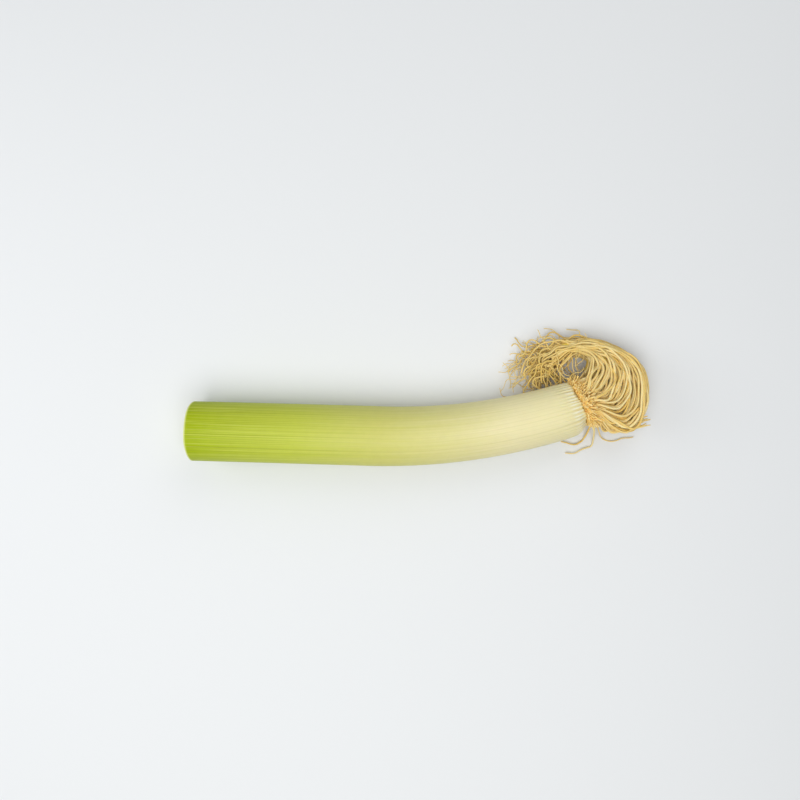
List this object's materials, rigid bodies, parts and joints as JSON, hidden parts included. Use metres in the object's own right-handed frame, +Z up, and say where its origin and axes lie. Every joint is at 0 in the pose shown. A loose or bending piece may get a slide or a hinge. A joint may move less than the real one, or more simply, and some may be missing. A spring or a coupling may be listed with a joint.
{
  "type": "leek",
  "caption": "Trimmed leek lying on its side: nested leaf sheaths cut off square, a gently bent shaft, a domed root plate and a swept heap of thin roots.",
  "frame": {"origin": "middle of the leek's footprint, on the surface that it lies on", "axes": "+X from the cut end towards the roots, along the straight part of the shaft; +Y to the side that the foot bends towards; +Z up"},
  "size_m": [0.2362, 0.0716, 0.0306],
  "materials": {
    "outer_leaf": "waxy leaf, green at the cut end and cream at the foot",
    "inner_leaf": "moist cut leaf, pale green to cream",
    "heart_leaf": "moist folded young leaf, yellow-green",
    "root_plate": "rough, dry and tan, with root scars",
    "root": "matt, dry and cream to ochre"
  },
  "bodies": {
    "root": {"leaf_1": "outer_leaf", "leaf_2": "inner_leaf", "leaf_3": "inner_leaf", "leaf_4": "inner_leaf", "leaf_5": "inner_leaf", "leaf_6": "inner_leaf", "leaf_7": "inner_leaf", "heart_leaf": "heart_leaf", "root_plate": "root_plate", "root_01": "root", "root_02": "root", "root_03": "root", "root_04": "root", "root_05": "root", "root_06": "root", "root_07": "root", "root_08": "root", "root_09": "root", "root_10": "root", "root_11": "root", "root_12": "root", "root_13": "root", "root_14": "root", "root_15": "root", "root_16": "root", "root_17": "root", "root_18": "root", "root_19": "root", "root_20": "root", "root_21": "root", "root_22": "root", "root_23": "root", "root_24": "root", "root_25": "root", "root_26": "root", "root_27": "root", "root_28": "root", "root_29": "root", "root_30": "root", "root_31": "root", "root_32": "root", "root_33": "root", "root_34": "root", "root_35": "root", "root_36": "root", "root_37": "root", "root_38": "root", "root_39": "root", "root_40": "root", "stray_root_1": "root", "stray_root_2": "root", "stray_root_3": "root"}
  },
  "joints": []
}
